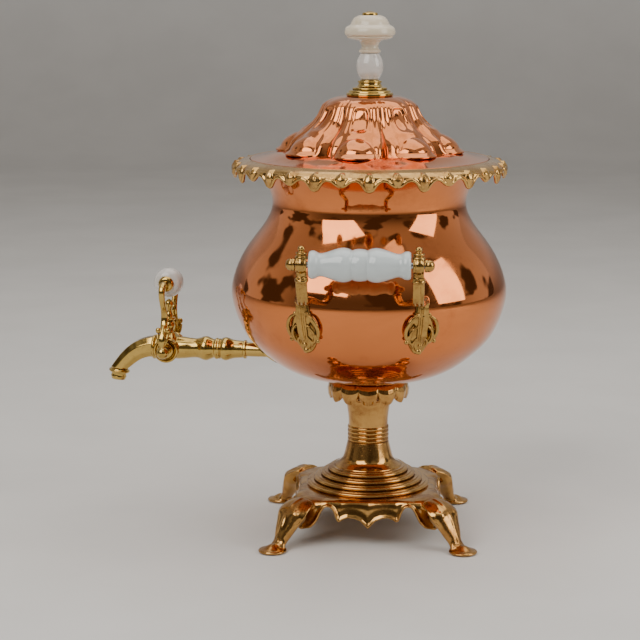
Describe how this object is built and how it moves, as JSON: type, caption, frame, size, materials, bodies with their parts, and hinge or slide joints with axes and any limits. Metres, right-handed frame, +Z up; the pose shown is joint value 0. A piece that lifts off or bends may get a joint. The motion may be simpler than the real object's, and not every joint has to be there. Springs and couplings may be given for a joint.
{
  "type": "tea urn",
  "caption": "Polished copper tea urn on a cast brass pedestal, with a lever tap, two ceramic-gripped handles and a lift-off lobed lid.",
  "frame": {"origin": "the urn's axis at table level", "axes": "+Z up along the urn's axis; the tap points toward -X and the handles stand at -Y and +Y"},
  "size_m": [0.3544, 0.327, 0.4561],
  "materials": {
    "copper": "polished",
    "cast_brass": "polished",
    "gallery_brass": "polished",
    "turned_brass": "polished",
    "tinned_copper": "satin",
    "steel": "satin",
    "cast_iron": "rough",
    "rubber": "matte",
    "white_ceramic": "gloss",
    "cream_ceramic": "gloss",
    "pale_ceramic": "gloss"
  },
  "bodies": {
    "root": {"base_casting": "cast_brass", "pedestal_stem": "cast_brass", "leaf_collar": "cast_brass", "centre_bolt": "steel", "bolt_washer": "steel", "bolt_nut": "steel", "sleeve_seal": "rubber", "urn_body": "copper", "rim_gallery": "gallery_brass", "heater_sleeve": "tinned_copper", "tap_flange": "turned_brass", "tap_pipe": "turned_brass", "tap_gasket": "rubber", "tap_lock_nut": "turned_brass", "tap_barrel": "turned_brass", "tap_housing": "turned_brass", "tap_spout": "turned_brass", "spout_nozzle": "turned_brass", "tap_finial": "turned_brass", "brackets_front": "cast_brass", "rivets_front": "turned_brass", "grip_front": "pale_ceramic", "handle_rod_front": "steel", "end_nuts_front": "turned_brass", "brackets_back": "cast_brass", "rivets_back": "turned_brass", "grip_back": "pale_ceramic", "handle_rod_back": "steel", "end_nuts_back": "turned_brass"},
    "lid": {"lid_dome": "copper", "lid_skirt": "tinned_copper", "lid_washer": "turned_brass", "lid_nut": "turned_brass", "finial_rod": "steel", "finial_collar": "turned_brass", "finial_ball": "white_ceramic", "finial_knob": "cream_ceramic", "finial_cap_nut": "turned_brass"},
    "heater_cover": {"heater_cover": "tinned_copper"},
    "heater_iron": {"heater_iron": "cast_iron"},
    "tap_lever": {"tap_plug": "turned_brass", "tap_yoke": "turned_brass", "grip_crossbar": "steel", "grip_caps": "turned_brass", "tap_grip": "white_ceramic"}
  },
  "joints": [
    {"name": "lid_lift", "type": "slide", "parent": "root", "child": "lid", "axis": [0, 0, 1], "range_m": [0, 0.15]},
    {"name": "heater_cover_lift", "type": "slide", "parent": "root", "child": "heater_cover", "axis": [0, 0, 1], "range_m": [0, 0.045]},
    {"name": "heater_iron_lift", "type": "slide", "parent": "root", "child": "heater_iron", "axis": [0, 0, 1], "range_m": [0, 0.012]},
    {"name": "tap_lever_turn", "type": "hinge", "parent": "root", "child": "tap_lever", "pos_m": [-0.1783, 0.02316, 0.1575], "axis": [-0.1288, -0.9917, 0], "range_deg": [0, 75]}
  ]
}
